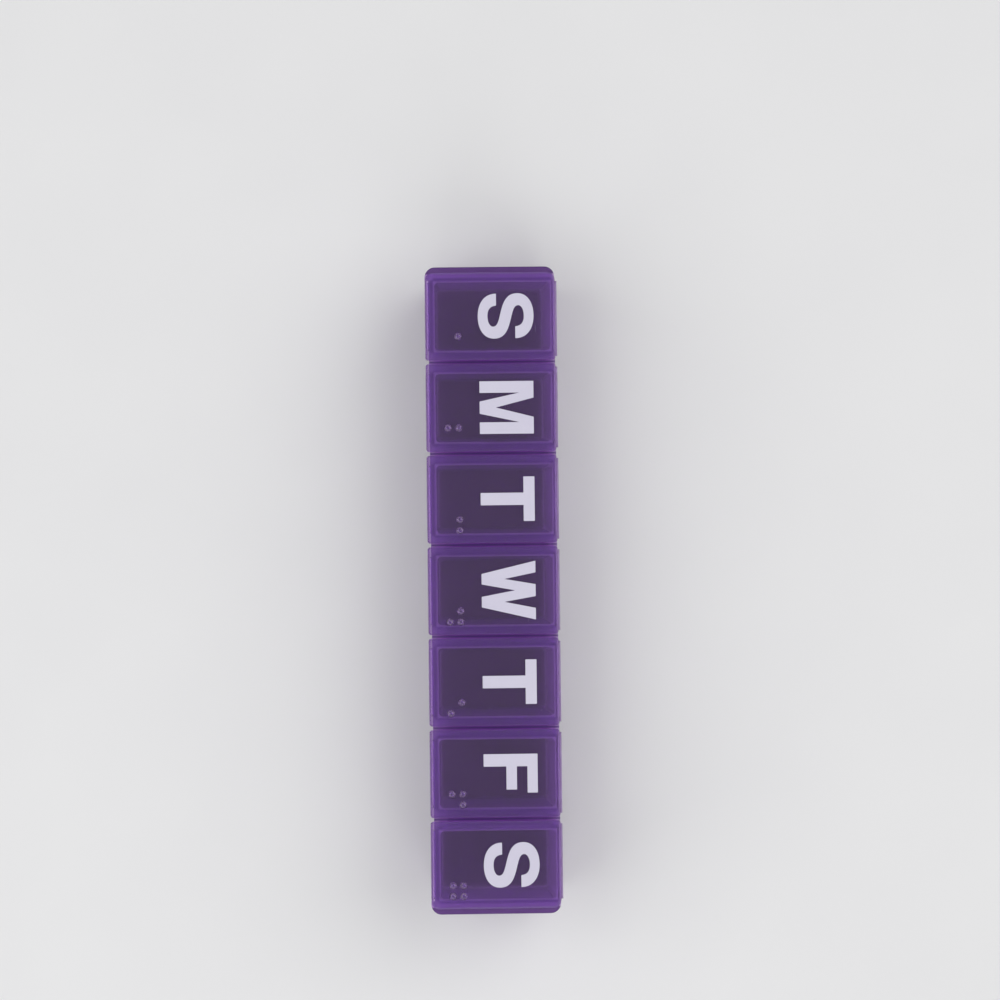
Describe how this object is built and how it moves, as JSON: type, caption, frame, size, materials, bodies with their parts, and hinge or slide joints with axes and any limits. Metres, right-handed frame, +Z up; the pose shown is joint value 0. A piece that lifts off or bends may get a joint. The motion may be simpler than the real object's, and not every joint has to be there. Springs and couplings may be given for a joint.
{
  "type": "weekly pill organizer",
  "caption": "Row of clear purple plastic cups under one flange, each closed by its own snap lid on a living hinge, for sorting pills by day.",
  "frame": {"origin": "middle of the ground that the organizer covers, level with the undersides of the cups", "axes": "+X along the row from the Sunday cell to the Saturday cell, +Y from the catch lips to the hinges, +Z up"},
  "size_m": [0.1254, 0.0256, 0.022],
  "materials": {
    "tray_plastic": "clear purple polypropylene, glossy",
    "lid_plastic": "clear purple polypropylene, glossy, with white printed day initials",
    "hinge_plastic": "clear purple polypropylene, thinned and paler where it is folded"
  },
  "bodies": {
    "tray": {"tray": "tray_plastic"},
    "lid_sunday": {"lid_sunday": "lid_plastic", "hinge_sunday": "hinge_plastic"},
    "lid_monday": {"lid_monday": "lid_plastic", "hinge_monday": "hinge_plastic"},
    "lid_tuesday": {"lid_tuesday": "lid_plastic", "hinge_tuesday": "hinge_plastic"},
    "lid_wednesday": {"lid_wednesday": "lid_plastic", "hinge_wednesday": "hinge_plastic"},
    "lid_thursday": {"lid_thursday": "lid_plastic", "hinge_thursday": "hinge_plastic"},
    "lid_friday": {"lid_friday": "lid_plastic", "hinge_friday": "hinge_plastic"},
    "lid_saturday": {"lid_saturday": "lid_plastic", "hinge_saturday": "hinge_plastic"}
  },
  "joints": [
    {"name": "hinge_sunday_turn", "type": "hinge", "parent": "tray", "child": "lid_sunday", "pos_m": [-0.0531, 0.01266, 0.02075], "axis": [-1, 0, 0], "range_deg": [0, 178], "deforming": ["hinge_sunday"]},
    {"name": "hinge_monday_turn", "type": "hinge", "parent": "tray", "child": "lid_monday", "pos_m": [-0.0354, 0.01266, 0.02075], "axis": [-1, 0, 0], "range_deg": [0, 178], "deforming": ["hinge_monday"]},
    {"name": "hinge_tuesday_turn", "type": "hinge", "parent": "tray", "child": "lid_tuesday", "pos_m": [-0.0177, 0.01266, 0.02075], "axis": [-1, 0, 0], "range_deg": [0, 178], "deforming": ["hinge_tuesday"]},
    {"name": "hinge_wednesday_turn", "type": "hinge", "parent": "tray", "child": "lid_wednesday", "pos_m": [0, 0.01266, 0.02075], "axis": [-1, 0, 0], "range_deg": [0, 178], "deforming": ["hinge_wednesday"]},
    {"name": "hinge_thursday_turn", "type": "hinge", "parent": "tray", "child": "lid_thursday", "pos_m": [0.0177, 0.01266, 0.02075], "axis": [-1, 0, 0], "range_deg": [0, 178], "deforming": ["hinge_thursday"]},
    {"name": "hinge_friday_turn", "type": "hinge", "parent": "tray", "child": "lid_friday", "pos_m": [0.0354, 0.01266, 0.02075], "axis": [-1, 0, 0], "range_deg": [0, 178], "deforming": ["hinge_friday"]},
    {"name": "hinge_saturday_turn", "type": "hinge", "parent": "tray", "child": "lid_saturday", "pos_m": [0.0531, 0.01266, 0.02075], "axis": [-1, 0, 0], "range_deg": [0, 178], "deforming": ["hinge_saturday"]}
  ]
}
